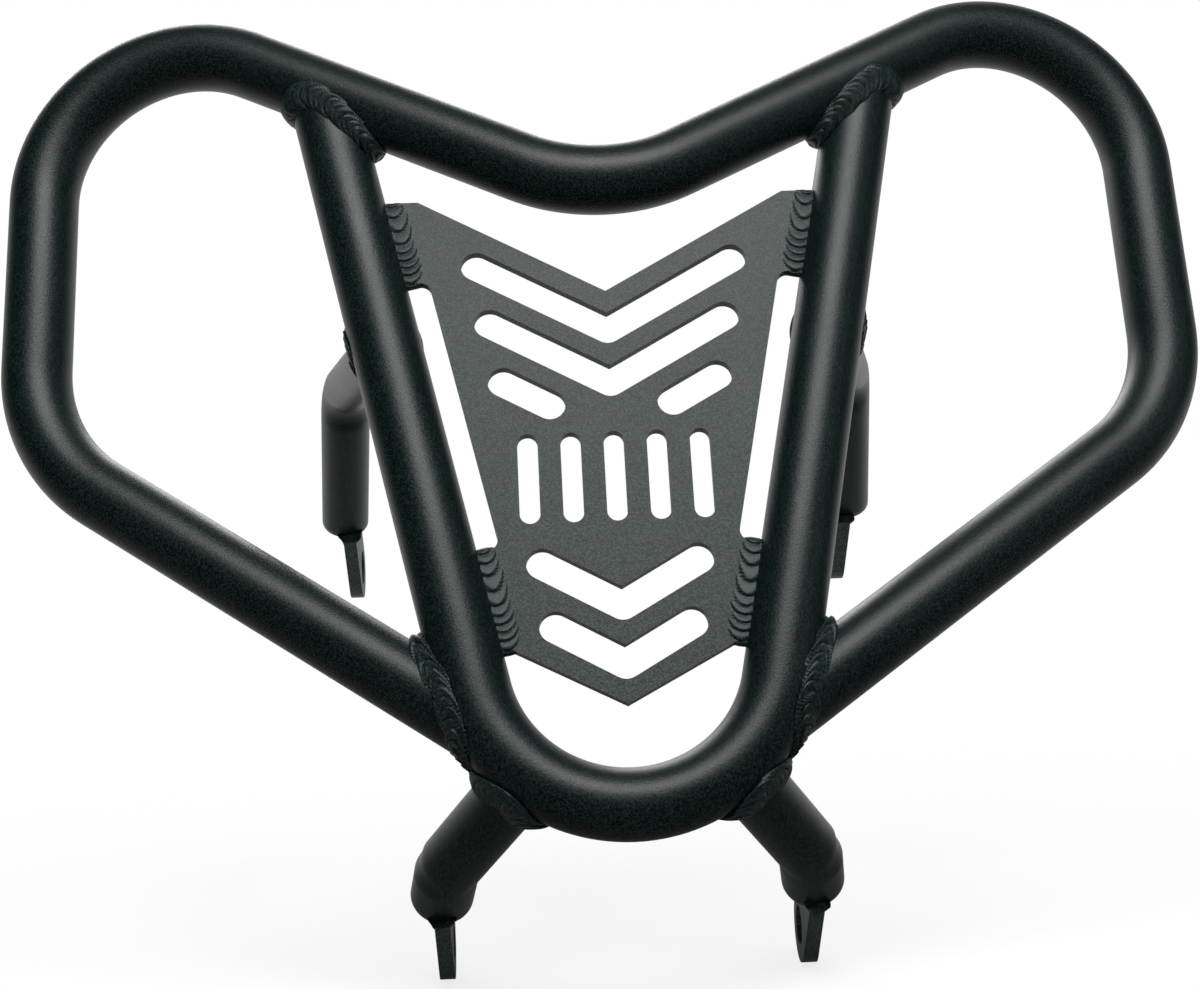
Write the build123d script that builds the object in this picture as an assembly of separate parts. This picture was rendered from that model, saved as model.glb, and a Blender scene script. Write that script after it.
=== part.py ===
"""Front bumper of a quad bike, welded from bent aluminium tube and one slotted plate.

Frame: +X to the right when looking at the front, +Y towards the vehicle, +Z up.
The origin lies on the axis of the two lower mounting holes, midway between them.
All sizes are in millimetres and all angles in degrees.
"""

from build123d import *
import math
import os

# Main tube: the outer hoop and the U are bent from the same stock
tube_diameter = 31.75
tube_wall = 3.2

# U tube: it leans back, and its legs spread upwards from one round bend
u_lean = 21.1
u_bend_radius = 66.0
u_leg_spread = 12.3
u_leg_length = 300.8
u_centre_y = -86.0
u_centre_z = 138.5

# Outer hoop: its top arms cross the legs' ends, and its sides lean forward as they go down
hoop_half_width = 262.0
arm_rise = 25.33
arm_sweep = 19.74
side_length = 241.6
side_lean = 18.6
front_bend_radius = 70.0
shoulder_bend_radius = 68.5
corner_bend_radius = 77.0
hoop_end_arc_angle = 29.3
hoop_end_setback = 2.0

# Centre plate: heights and depths lie in the plane of the U, from the centre of its bend
plate_thickness = 4.8
plate_top_drop = 62.3
plate_shoulder_width = 14.7
plate_foot_height = 1.8
plate_tip_depth = 23.7
plate_foot_angle = 28.0

# Chevron slots: each row, counted from the top, ends short of the legs by its margin
chevron_angle = 30.0
slot_width = 14.0
row_top_margin = 19.0
row_bottom_margin = 17.7
row_end_margin = {0: 33.3, 1: 32.2, 2: 31.1, 5: 26.3, 6: 24.6}
short_row = 2
short_row_inner = 27.4

# Upright slots between the short row and the row under them
row_under_uprights = 5
upright_count = 5
upright_width = 9.0
upright_pitch = 19.0
upright_top_gap = 6.8
upright_bottom_gap = 11.6

# Gaps between the plate's sides and the legs, between the welds that hold the plate
upper_plate_weld_length = 41.5
lower_plate_weld_length = 44.6
relief_width = 10.0
relief_corner_radius = 5.0

# Struts that run back from the U to the mounting tabs
strut_wall = 2.8
strut_end_pitch = 45.0
upper_strut_diameter = 25.4
upper_strut_start = 157.0
upper_strut_bend = (131.0, 117.0, 265.5)
upper_strut_bend_radius = 46.0
lower_strut_diameter = 28.6
lower_strut_arc_angle = 47.0
lower_strut_bend = (82.0, -50.0, 50.0)
lower_strut_bend_radius = 34.0

# Mounting tabs: flat bar with a round end about the hole and a tongue inside the strut
tab_thickness = 7.0
tab_width = 34.0
tab_hole_diameter = 19.0
tab_length = 39.0
tab_tongue_length = 12.0
tab_tongue_clearance = 0.2
lower_hole = (84.0, 0.0, 0.0)
upper_hole = (137.0, 214.0, 168.5)

# Weld beads
bead_radius = 5.5
bead_point_count = 9
bead_tolerance = 0.01
plate_bead_radius = 6.5
plate_bead_overrun = 3.0
plate_bead_chamfer = 3.0
end_weld_height = 5.0
end_weld_side = 2.5
end_weld_chamfer = 2.0


def bent_path(corners, radii):
    """Join the corners by straight runs and tangent arcs, one radius for each inner corner."""
    edges = []
    start = corners[0]
    for before, corner, after, radius in zip(corners, corners[1:], corners[2:], radii):
        to_before = (before - corner).normalized()
        to_after = (after - corner).normalized()
        half_angle = math.radians(to_before.get_angle(to_after)) / 2
        tangent_length = radius / math.tan(half_angle)
        arc_start = corner + to_before * tangent_length
        arc_end = corner + to_after * tangent_length
        bisector = (to_before + to_after).normalized()
        arc_middle = corner + bisector * (radius / math.sin(half_angle) - radius)
        edges.append(Edge.make_line(start, arc_start))
        edges.append(Edge.make_three_point_arc(arc_start, arc_middle, arc_end))
        start = arc_end
    edges.append(Edge.make_line(start, corners[-1]))
    return Wire(edges)


def round_bar(path, diameter):
    """Sweep a full disc along the path."""
    section = Plane(origin=path @ 0, z_dir=path % 0) * Circle(diameter / 2)
    return sweep(section, path=path)


def tube(path, diameter, wall):
    """Sweep a tube with an open bore along the path."""
    return round_bar(path, diameter) - round_bar(path, diameter - 2 * wall)


def other_side(point):
    """Return the same point on the other side of the middle plane."""
    return Vector(-point.X, point.Y, point.Z)


def seam_points(start, direction, diameter, main_path, main_direction, first_turn):
    """Find where lines along half a branch tube meet the outside of a main tube.

    The branch starts on the main tube's axis and runs in the given direction. The half turn is
    counted about the branch, from the side that leans most along the main tube.
    """
    across = direction.cross(main_direction).normalized()
    sideways = across.cross(direction).normalized()
    points = []
    for index in range(bead_point_count):
        turn = math.radians(first_turn + 180.0 * index / (bead_point_count - 1))
        offset = (sideways * math.cos(turn) + across * math.sin(turn)) * (diameter / 2)
        outside = 3 * tube_diameter
        inside = 0.0
        while outside - inside > bead_tolerance:
            middle = (outside + inside) / 2
            if main_path.distance_to(start + offset + direction * middle) > tube_diameter / 2:
                outside = middle
            else:
                inside = middle
        points.append(start + offset + direction * outside)
    return points


def joint_bead(start, direction, diameter, branch_body, main_path, main_direction, main_body):
    """Lay a round bead along the seam of a branch tube on a main tube, in two runs."""
    runs = []
    for first_turn in (-90.0, 90.0):
        points = seam_points(start, direction, diameter, main_path, main_direction, first_turn)
        runs.append(round_bar(Wire([Edge.make_spline(points)]), 2 * bead_radius))
        runs.append(Pos(*points[0]) * Sphere(bead_radius))
    bead = runs[0].fuse(*runs[1:])
    return bead - main_body - branch_body


# The U's own plane faces the front, with its middle at the centre of the bend
lean = math.radians(u_lean)
spread = math.radians(u_leg_spread)
u_plane = Plane(
    origin=(0, u_centre_y, u_centre_z),
    x_dir=(1, 0, 0),
    z_dir=(0, -math.cos(lean), math.sin(lean)),
)


def u_point(across, up):
    """Return a point of the U's plane from its distances across and up."""
    return u_plane.from_local_coords(Vector(across, up, 0))


def arc_point(angle):
    """Return the point of the bend's axis at an angle below its centre, on the right."""
    turn = math.radians(angle)
    return u_point(u_bend_radius * math.cos(turn), -u_bend_radius * math.sin(turn))


def arc_tangent(angle):
    """Return the direction of the bend's axis at an angle below its centre, going up."""
    turn = math.radians(angle)
    return (u_point(math.sin(turn), math.cos(turn)) - u_point(0, 0)).normalized()


def leg_across(up):
    """Return how far out the right leg's axis lies at a height in the U's plane."""
    return u_bend_radius / math.cos(spread) + up * math.tan(spread)


def leg_inside(up):
    """Return how far out the right leg's inner side lies at a height in the U's plane."""
    return leg_across(up) - tube_diameter / 2 / math.cos(spread)


# Each leg ends on the axis of the hoop's top arm, and the hoop is laid out from there
leg_foot = arc_point(u_leg_spread)
leg_direction = arc_tangent(u_leg_spread)
leg_top = leg_foot + leg_direction * u_leg_length
u_path = Wire(
    [
        Edge.make_line(leg_top, leg_foot),
        Edge.make_three_point_arc(leg_foot, arc_point(90.0), other_side(leg_foot)),
        Edge.make_line(other_side(leg_foot), other_side(leg_top)),
    ]
)
arm_slope = Vector(1, math.tan(math.radians(arm_sweep)), math.tan(math.radians(arm_rise)))
hoop_apex = leg_top - arm_slope * leg_top.X
shoulder = leg_top + arm_slope * (hoop_half_width - leg_top.X)
side_turn = math.radians(side_lean)
corner = shoulder - Vector(0, math.sin(side_turn), math.cos(side_turn)) * side_length

# The hoop's path ends behind the axis of the U's bend, on both sides
hoop_end = arc_point(hoop_end_arc_angle) - u_plane.z_dir * hoop_end_setback
right_corners = [shoulder, corner, hoop_end]
right_radii = [shoulder_bend_radius, corner_bend_radius]
hoop_path = bent_path(
    [other_side(point) for point in reversed(right_corners)] + [hoop_apex] + right_corners,
    right_radii[::-1] + [front_bend_radius] + right_radii,
)
hoop_body = round_bar(hoop_path, tube_diameter)
u_body = round_bar(u_path, tube_diameter)


# Heights on the plate follow from where the legs meet the hoop
chevron_slope = math.tan(math.radians(chevron_angle))
plate_top_height = u_plane.to_local_coords(leg_top).Y - plate_top_drop
plate_top_half_width = leg_inside(plate_top_height) - plate_shoulder_width
notch_height = plate_top_height - plate_top_half_width * chevron_slope
relief_top = plate_top_height - upper_plate_weld_length
relief_bottom = plate_foot_height + lower_plate_weld_length
rows_height = notch_height + plate_tip_depth - row_top_margin - row_bottom_margin
row_pitch = rows_height / max(row_end_margin)


def row_height(row):
    """Return how high a row of slots lies on the plate's middle line."""
    return notch_height - row_top_margin - row * row_pitch


def row_reach(row):
    """Return how far out the arms of a row of slots end."""
    room = leg_inside(row_height(row)) - row_end_margin[row]
    return room / (1 - chevron_slope * math.tan(spread))


def plate_outline():
    """Return the plate's outline, which runs under the legs as far as their axes."""
    foot_rise = plate_tip_depth + plate_foot_height
    foot_half_width = foot_rise / math.tan(math.radians(plate_foot_angle))
    right_side = [
        (0, notch_height),
        (plate_top_half_width, plate_top_height),
        (leg_across(plate_top_height), plate_top_height),
        (leg_across(plate_foot_height), plate_foot_height),
        (foot_half_width, plate_foot_height),
        (0, -plate_tip_depth),
    ]
    left_side = [(-across, up) for across, up in reversed(right_side[1:-1])]
    return make_face(Polyline(*right_side, *left_side, close=True))


def chevron_arm(inner, outer, height):
    """Return the right arm of a chevron slot, between two distances from the middle."""
    middle = (inner + outer) / 2
    arm = SlotCenterToCenter((outer - inner) / math.cos(math.radians(chevron_angle)), slot_width)
    return Pos(middle, height + middle * chevron_slope) * Rot(0, 0, chevron_angle) * arm


def upright_slots():
    """Return the row of upright slots in the middle of the plate."""
    rise = short_row_inner * chevron_slope - slot_width / 2 - upright_top_gap
    top = row_height(short_row) + rise
    fall = row_reach(row_under_uprights) * chevron_slope + slot_width / 2 + upright_bottom_gap
    bottom = row_height(row_under_uprights) + fall
    slot = Rot(0, 0, 90) * SlotOverall(top - bottom, upright_width)
    places = [(index - (upright_count - 1) / 2) * upright_pitch for index in range(upright_count)]
    return [Pos(place, (top + bottom) / 2) * slot for place in places]


def relief_gap():
    """Return the gap beside the right leg, from the leg's axis inwards."""
    inner_offset = (tube_diameter / 2 + relief_width) / math.cos(spread)
    top_across = leg_across(relief_top)
    bottom_across = leg_across(relief_bottom)
    top_corner = (top_across - inner_offset, relief_top)
    bottom_corner = (bottom_across - inner_offset, relief_bottom)
    gap = make_face(
        Polyline(
            top_corner,
            (top_across, relief_top),
            (bottom_across, relief_bottom),
            bottom_corner,
            close=True,
        )
    )
    rounded = [gap.vertices().sort_by_distance(corner)[0] for corner in (top_corner, bottom_corner)]
    return fillet(rounded, relief_corner_radius)


def make_plate():
    """Cut the plate to its outline and fit its sides to the legs."""
    right_cuts = [relief_gap()]
    for row in row_end_margin:
        inner = short_row_inner if row == short_row else 0
        right_cuts.append(chevron_arm(inner, row_reach(row), row_height(row)))
    left_cuts = [mirror(cut, about=Plane.YZ) for cut in right_cuts]
    blank = plate_outline()
    for cut in right_cuts + left_cuts + upright_slots():
        blank -= cut
    return extrude(u_plane * blank, amount=plate_thickness / 2, both=True) - u_body


def plate_bead(lower, upper, plate):
    """Run a bead round the plate's welded edge on the right leg, between two heights."""
    low = u_point(leg_inside(lower), lower) - leg_direction * plate_bead_overrun
    high = u_point(leg_inside(upper), upper) + leg_direction * plate_bead_overrun
    bead = round_bar(Wire([Edge.make_line(low, high)]), 2 * plate_bead_radius)
    bead = chamfer(bead.edges().filter_by(GeomType.CIRCLE), plate_bead_chamfer)
    return bead - plate - u_body


# All tabs point back and down by the same pitch
tab_turn = math.radians(strut_end_pitch)
tab_direction = Vector(0, math.cos(tab_turn), -math.sin(tab_turn))


def strut_path(start, bend, bend_radius, hole):
    """Return a strut's path, from the U's axis to the inner end of its tab's flat sides."""
    return bent_path([start, Vector(*bend), Vector(*hole) - tab_direction * tab_length], [bend_radius])


def make_tab(hole, strut_diameter):
    """Cut a tab from flat bar, with its tongue reaching into the strut's bore."""
    tongue_width = strut_diameter - 2 * (strut_wall + tab_tongue_clearance)
    blank = Circle(tab_width / 2)
    blank += Pos(-tab_length / 2, 0) * Rectangle(tab_length, tab_width)
    blank += Pos(-tab_length - tab_tongue_length / 2, 0) * Rectangle(tab_tongue_length, tongue_width)
    blank -= Circle(tab_hole_diameter / 2)
    tab_plane = Plane(origin=hole, x_dir=tab_direction, z_dir=(1, 0, 0))
    return extrude(tab_plane * blank, amount=tab_thickness / 2, both=True)


def make_end_weld(tube_end, strut_diameter):
    """Close the strut's end round its tab with a chamfered cap of weld."""
    end_plane = Plane(origin=tube_end, x_dir=(1, 0, 0), z_dir=tab_direction)
    outline = Circle(strut_diameter / 2)
    outline += Rectangle(tab_thickness + 2 * end_weld_side, tab_width + 2 * end_weld_side)
    cap = extrude(end_plane * outline, amount=end_weld_height)
    outer_edges = cap.faces().sort_by(Axis(tube_end, tab_direction))[-1].edges()
    return chamfer(outer_edges, end_weld_chamfer)


def make_strut(path, diameter, main_direction, hole):
    """Make a right-hand strut with its tab and its two welds."""
    body = round_bar(path, diameter)
    strut = tube(path, diameter, strut_wall) - u_body
    tab = make_tab(hole, diameter)
    return {
        "strut": strut,
        "tab": tab - strut,
        "strut_weld": joint_bead(path @ 0, path % 0, diameter, body, u_path, main_direction, u_body),
        "end_weld": make_end_weld(path @ 1, diameter) - tab - body,
    }


outer_hoop = tube(hoop_path, tube_diameter, tube_wall) - u_body
u_tube = tube(u_path, tube_diameter, tube_wall) - hoop_body
centre_plate = make_plate()
upper_path = strut_path(
    leg_foot + leg_direction * upper_strut_start,
    upper_strut_bend,
    upper_strut_bend_radius,
    upper_hole,
)
upper_level = make_strut(upper_path, upper_strut_diameter, leg_direction, upper_hole)
lower_path = strut_path(
    arc_point(lower_strut_arc_angle),
    lower_strut_bend,
    lower_strut_bend_radius,
    lower_hole,
)
lower_direction = arc_tangent(lower_strut_arc_angle)
lower_level = make_strut(lower_path, lower_strut_diameter, lower_direction, lower_hole)
hoop_top_weld = joint_bead(
    leg_top, leg_direction * -1, tube_diameter, u_body, hoop_path, arm_slope.normalized(), hoop_body
)
hoop_end_weld = joint_bead(
    hoop_end,
    (corner - hoop_end).normalized(),
    tube_diameter,
    hoop_body,
    u_path,
    arc_tangent(hoop_end_arc_angle),
    u_body,
)

# The two beads at the foot of the U run into each other, so each gives way once
hoop_end_weld -= round_bar(lower_path, lower_strut_diameter)
lower_level["strut_weld"] -= hoop_body + hoop_end_weld

right_hand = {
    "hoop_top_weld": hoop_top_weld,
    "hoop_end_weld": hoop_end_weld,
    "upper_plate_weld": plate_bead(relief_top, plate_top_height, centre_plate),
    "lower_plate_weld": plate_bead(plate_foot_height, relief_bottom, centre_plate),
}
right_hand |= {f"upper_{piece}": solid for piece, solid in upper_level.items()}
right_hand |= {f"lower_{piece}": solid for piece, solid in lower_level.items()}

parts = {"outer_hoop": outer_hoop, "u_tube": u_tube, "centre_plate": centre_plate}
for name, solid in right_hand.items():
    parts[f"{name}_right"] = solid
    parts[f"{name}_left"] = mirror(solid, about=Plane.YZ)

os.makedirs("parts", exist_ok=True)
for name, solid in parts.items():
    export_step(solid, f"parts/{name}.step")
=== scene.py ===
"""Dresses the front bumper of a quad bike: tubes, weld ripples, finishes, stage and camera.

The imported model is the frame: every size here is in metres, in the frame of the CAD part.
The plate and the four tabs keep their CAD meshes and get a finish. The tubes, the weld beads and
the lumps of weld at the tabs are made here, along the CAD's axes and seams, and replace the
CAD's nodes.
"""

import logging
import math
from collections.abc import Callable
from dataclasses import dataclass, field
from enum import Enum

import bmesh
import bpy
import numpy as np
from mathutils import Matrix, Vector

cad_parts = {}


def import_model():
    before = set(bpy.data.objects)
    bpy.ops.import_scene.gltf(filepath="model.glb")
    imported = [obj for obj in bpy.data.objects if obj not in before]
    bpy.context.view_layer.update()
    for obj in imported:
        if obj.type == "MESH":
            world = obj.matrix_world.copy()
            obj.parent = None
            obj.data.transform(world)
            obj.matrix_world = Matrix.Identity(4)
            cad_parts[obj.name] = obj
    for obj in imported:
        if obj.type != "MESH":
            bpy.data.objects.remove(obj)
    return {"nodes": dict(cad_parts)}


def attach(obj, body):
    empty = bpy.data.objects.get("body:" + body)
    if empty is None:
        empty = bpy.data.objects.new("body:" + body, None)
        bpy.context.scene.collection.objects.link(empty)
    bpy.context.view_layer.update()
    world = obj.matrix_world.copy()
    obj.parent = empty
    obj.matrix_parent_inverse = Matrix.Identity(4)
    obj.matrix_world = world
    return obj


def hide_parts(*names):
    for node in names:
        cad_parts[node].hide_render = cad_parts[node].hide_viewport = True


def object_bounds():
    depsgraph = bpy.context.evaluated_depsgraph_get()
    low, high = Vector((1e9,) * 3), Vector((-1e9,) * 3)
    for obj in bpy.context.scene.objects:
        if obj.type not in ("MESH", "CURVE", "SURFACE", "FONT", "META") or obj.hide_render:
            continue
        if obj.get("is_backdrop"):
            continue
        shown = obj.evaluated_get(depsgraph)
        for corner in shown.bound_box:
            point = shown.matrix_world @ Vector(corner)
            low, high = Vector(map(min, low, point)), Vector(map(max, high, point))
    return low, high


LOG = logging.getLogger("bumper")
BODY = "root"
PHOTO_WIDTH = 1200
WHITE = (1.0, 1.0, 1.0, 1.0)

# The type of a place, a direction, a colour and any other three numbers
Triple = tuple[float, float, float]

# Attributes of the points of a line or a bead
# CREASE marks how deep a point lies in a crease between weld ripples, where the weld coat paints shade
CREASE = "crease"
OUTWARD = "outward"
SQUASH = "squash"
RISE = "rise"
BREADTH = "breadth"

# Points nearer than this are one point, and an edge shorter than this is none
MERGE_DISTANCE = 1e-6
SHORTEST_EDGE = 1e-7

# How quickly a bend's flattening grows from its ends to its middle
FLATTENING_POWER = 0.7


class Side(Enum):
    """Which half of the bumper a piece belongs to, with the sign of its X."""

    RIGHT = 1
    LEFT = -1

    @property
    def label(self) -> str:
        """Return the side's name as the CAD nodes write it."""
        return self.name.lower()

    @property
    def flip(self) -> np.ndarray:
        """Return what a point on the right is multiplied by to be its twin on this side."""
        return np.array([self.value, 1, 1])


class Slot(Enum):
    """Two material slot names, which no piece in this script is given."""

    TUBE = "tube_paint"
    WELD = "weld_paint"


def linked(name: str, data: bpy.types.ID) -> bpy.types.Object:
    """Return a new object with its data, linked to the scene.

    Args:
        name: The object's name.
        data: Its mesh, lamp or camera.

    Returns:
        The object, at the origin.
    """
    made = bpy.data.objects.new(name, data)
    bpy.context.scene.collection.objects.link(made)
    return made


# Node maths


@dataclass(frozen=True)
class Socket:
    """An output socket of a node, with the graph that the node is in."""

    graph: "Graph"
    socket: bpy.types.NodeSocket


def math_method(operation: str, swapped: bool = False) -> Callable[..., "Value"]:
    """Return a method of Value that adds a Math node, which takes self first or, swapped, last.

    Args:
        operation: What the Math node does.
        swapped: Whether self is the node's last input and not its first.

    Returns:
        The method.
    """

    def method(self: "Value", *others: "Value | float") -> "Value":
        """Return the result of the operation on self and what else is given."""
        inputs = (*others, self) if swapped else (self, *others)
        return self.graph.node("ShaderNodeMath", {"operation": operation}, dict(enumerate(inputs))).value()

    return method


class Value(Socket):
    """A number that takes part in Python arithmetic, adding Math nodes as it goes."""

    __add__ = __radd__ = math_method("ADD")
    __mul__ = __rmul__ = math_method("MULTIPLY")
    __sub__ = math_method("SUBTRACT")
    __rsub__ = math_method("SUBTRACT", swapped=True)
    __truediv__ = math_method("DIVIDE")
    __rtruediv__ = math_method("DIVIDE", swapped=True)
    __pow__ = math_method("POWER")
    sine = math_method("SINE")
    cosine = math_method("COSINE")
    floor = math_method("FLOOR")
    size = math_method("ABSOLUTE")
    largest = math_method("MAXIMUM")

    # Takes the two ends of the range that self is brought round into, the high one first
    wrapped = math_method("WRAP")

    # Gives 1 where self is above the limit, and 0 elsewhere
    above = math_method("GREATER_THAN")

    def clamped(self) -> "Value":
        """Return self kept between 0 and 1."""
        return self.graph.node("ShaderNodeClamp", None, {0: self}).value()

    def between(self, low: float, high: float) -> "Value":
        """Return 0 below low, 1 above high, and a smooth step between them."""
        settings = {"interpolation_type": "SMOOTHSTEP", "clamp": True}
        return self.graph.node("ShaderNodeMapRange", settings, {0: self, 1: low, 2: high}).value()


class Arrow(Socket):
    """A vector that takes part in Python arithmetic, adding Vector Math nodes as it goes."""

    def _math(self, operation: str, *inputs: "Arrow") -> "NodeHandle":
        """Return a Vector Math node with its inputs fed."""
        return self.graph.node("ShaderNodeVectorMath", {"operation": operation}, dict(enumerate(inputs)))

    def __add__(self, other: "Arrow") -> "Arrow":
        """Return self + other."""
        return self._math("ADD", self, other).arrow()

    def __mul__(self, scale: "Value | float") -> "Arrow":
        """Return self made longer or shorter by a plain number."""
        return self.graph.node("ShaderNodeVectorMath", {"operation": "SCALE"}, {0: self, 3: scale}).arrow()

    __rmul__ = __mul__

    def cross(self, other: "Arrow") -> "Arrow":
        """Return the cross product of self and other."""
        return self._math("CROSS_PRODUCT", self, other).arrow()

    def unit(self) -> "Arrow":
        """Return self at length 1."""
        return self._math("NORMALIZE", self).arrow()

    def length(self) -> Value:
        """Return the length of self."""
        return self._math("LENGTH", self).value("Value")

    def part(self, axis: int) -> Value:
        """Return one component of self."""
        return self.graph.node("ShaderNodeSeparateXYZ", None, {0: self}).value(axis)


@dataclass(frozen=True)
class NodeHandle:
    """A node of a graph, with its outputs at hand."""

    graph: "Graph"
    node: bpy.types.Node

    def value(self, output: "int | str" = 0) -> Value:
        """Return one output of the node as a value."""
        return Value(self.graph, self.node.outputs[output])

    def arrow(self, output: "int | str" = 0) -> Arrow:
        """Return one output of the node as a vector."""
        return Arrow(self.graph, self.node.outputs[output])


@dataclass(frozen=True)
class Graph:
    """A node tree that is built one node at a time."""

    tree: bpy.types.NodeTree

    def node(self, kind: str, settings: dict | None = None, inputs: dict | None = None) -> NodeHandle:
        """Add a node, set it up, and feed its inputs.

        Args:
            kind: The node's type name.
            settings: The node's own properties, which are set first.
            inputs: Values or links, by the input's name or number.

        Returns:
            The node, wrapped.
        """
        node = self.tree.nodes.new(kind)
        for name, setting in (settings or {}).items():
            setattr(node, name, setting)
        for key, given in (inputs or {}).items():
            if isinstance(given, (Value, Arrow)):
                self.tree.links.new(given.socket, node.inputs[key])
            else:
                node.inputs[key].default_value = given
        return NodeHandle(self, node)

    def noise(self, where: Arrow, size: float, detail: float = 2.0, roughness: float = 0.5) -> Value:
        """Return a noise field from 0 to 1.

        Args:
            where: The coordinates to read.
            size: How large a blob of the noise is, in metres.
            detail: How many finer layers it has.
            roughness: How strong the finer layers are.

        Returns:
            The noise at each point.
        """
        inputs = {"Vector": where, "Scale": 1 / size, "Detail": detail, "Roughness": roughness}
        return self.node("ShaderNodeTexNoise", None, inputs).value()

    def blend(self, share: Value, first: "tuple | Value", second: tuple) -> Value:
        """Return a colour between two colours."""
        return self.node("ShaderNodeMix", {"data_type": "RGBA"}, {0: share, 6: first, 7: second}).value(2)


def new_material(name: str) -> tuple[bpy.types.Material, Graph]:
    """Return a new material without nodes, and the graph to build it in.

    Args:
        name: The material's name.

    Returns:
        The material and its graph.
    """
    material = bpy.data.materials.new(name)
    material.use_nodes = True
    material.node_tree.nodes.clear()
    return material, Graph(material.node_tree)


# Finishes


@dataclass(frozen=True)
class PaintedCreaseShade:
    """Painted shade in the creases between weld ripples: how far it darkens a coat and makes it rougher.

    Attributes:
        colour: The painted shade's colour at the bottom of a crease.
        edges: Where the shade starts and is full, as values of the crease attribute.
        strength: How much of that colour shows at the bottom.
        dulling: How much rougher the bottom is.
    """

    colour: Triple = (0.0, 0.0015, 0.0014)
    edges: tuple[float, float] = (0.2, 0.95)
    strength: float = 0.92
    dulling: float = 0.25

    def over(self, graph: Graph, colour: Value, roughness: Value) -> tuple[Value, Value]:
        """Paint shade into a coat's creases.

        Args:
            graph: The coat's graph.
            colour: The coat's colour.
            roughness: The coat's roughness.

        Returns:
            The colour with its painted shade, and the roughness.
        """
        crease = graph.node("ShaderNodeAttribute", {"attribute_name": CREASE}).value("Fac")
        shade = crease.between(*self.edges) * self.strength
        return graph.blend(shade, colour, (*self.colour, 1)), roughness + shade * self.dulling


@dataclass(frozen=True)
class PowderCoat:
    """A textured satin black powder coat.

    Attributes:
        name: The material's name.
        deep: The colour in the hollows of the grain.
        bright: The colour on the crowns of the grain.
        roughness: The mean roughness.
        grain: How large a grain of the coat is.
        grain_detail: How many finer layers the grain has.
        grain_sharpness: How strong those layers are.
        speck: How large the specks between the grains are.
        speck_detail: How many finer layers the specks have.
        peel: How large the slow waves of the coat are.
        mottle: How large the faint clouds of the coat are.
        grain_depth: How deep the grain is pressed in.
        speck_depth: How deep the specks are.
        peel_depth: How deep the slow waves are.
        tone_shares: The shares of grain, specks and clouds in the tone.
        tone_edges: Where the tone leaves the deep colour and reaches the bright one.
        grain_dulling: How much the grain changes the roughness.
        mottle_dulling: How much the clouds change the roughness.
        shine: The level of the mirror-like share of the light.
        crease: The painted shade in the weld ripples' creases, on a piece that has them.
    """

    name: str
    deep: Triple
    bright: Triple
    roughness: float
    grain: float = 0.0010
    grain_detail: float = 3.0
    grain_sharpness: float = 0.6
    speck: float = 0.00045
    speck_detail: float = 1.0
    peel: float = 0.006
    mottle: float = 0.035
    grain_depth: float = 0.00009
    speck_depth: float = 0.000036
    peel_depth: float = 0.00006
    tone_shares: Triple = (0.6, 0.35, 0.05)
    tone_edges: tuple[float, float] = (0.43, 0.60)
    grain_dulling: float = 0.16
    mottle_dulling: float = 0.08
    shine: float = 0.3
    crease: PaintedCreaseShade | None = None

    def build(self) -> bpy.types.Material:
        """Return the finish as a material on Object coordinates.

        Returns:
            The material.
        """
        material, graph = new_material(self.name)
        where = graph.node("ShaderNodeTexCoord").arrow("Object")
        grain = graph.noise(where, self.grain, self.grain_detail, self.grain_sharpness)
        speck = graph.noise(where, self.speck, self.speck_detail)
        peel = graph.noise(where, self.peel)
        mottle = graph.noise(where, self.mottle)
        tone = sum(layer * share for layer, share in zip((grain, speck, mottle), self.tone_shares))
        colour = graph.blend(tone.between(*self.tone_edges), (*self.deep, 1), (*self.bright, 1))
        dulling = (grain - 0.5) * self.grain_dulling + (mottle - 0.5) * self.mottle_dulling
        roughness = dulling + self.roughness
        height = grain * self.grain_depth + speck * self.speck_depth + peel * self.peel_depth
        # Painted shade darkens the colour in the creases between weld ripples
        if self.crease:
            colour, roughness = self.crease.over(graph, colour, roughness)
        bump = graph.node("ShaderNodeBump", None, {"Strength": 1.0, "Distance": 1.0, "Height": height})
        look = {
            "Base Color": colour,
            "Roughness": roughness,
            "Specular IOR Level": self.shine,
            "Normal": bump.value(),
        }
        shader = graph.node("ShaderNodeBsdfPrincipled", None, look)
        graph.node("ShaderNodeOutputMaterial", None, {"Surface": shader.value()})
        return material


TUBE_COAT = PowderCoat("tube_powder_coat", (0.0, 0.0024, 0.0021), (0.0055, 0.0150, 0.0137), 0.41)
# The plate's coat is the tubes' black powder coat made paler: painted light that brightens the flat faces of
# the plate and tabs
PLATE_COAT_WITH_PAINTED_LIGHT = PowderCoat("plate_powder_coat", (0.001, 0.0065, 0.0056), (0.036, 0.0480, 0.0460), 0.5)
CAP_COAT = PowderCoat("cap_powder_coat", (0.0005, 0.0050, 0.0045), (0.011, 0.0205, 0.019), 0.45)
# The welds' coat, with painted shade darkening the creases between ripples
WELD_COAT_WITH_PAINTED_SHADE = PowderCoat(
    "weld_powder_coat",
    (0.0005, 0.0055, 0.0050),
    (0.013, 0.0260, 0.0240),
    0.46,
    peel=0.003,
    crease=PaintedCreaseShade(),
)


# Where the tubes run


def unit(vector: np.ndarray) -> np.ndarray:
    """Return the vector at length 1."""
    return vector / np.linalg.norm(vector)


@dataclass(frozen=True)
class StraightAxis:
    """The axis of a straight tube, as a point of it and a direction at length 1."""

    start: np.ndarray
    direction: np.ndarray

    def at(self, run: float) -> np.ndarray:
        """Return the point at a run from the start."""
        return self.start + self.direction * run

    def nearest(self, point: np.ndarray) -> np.ndarray:
        """Return the nearest point of the axis."""
        return self.at(np.dot(point - self.start, self.direction))


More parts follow.
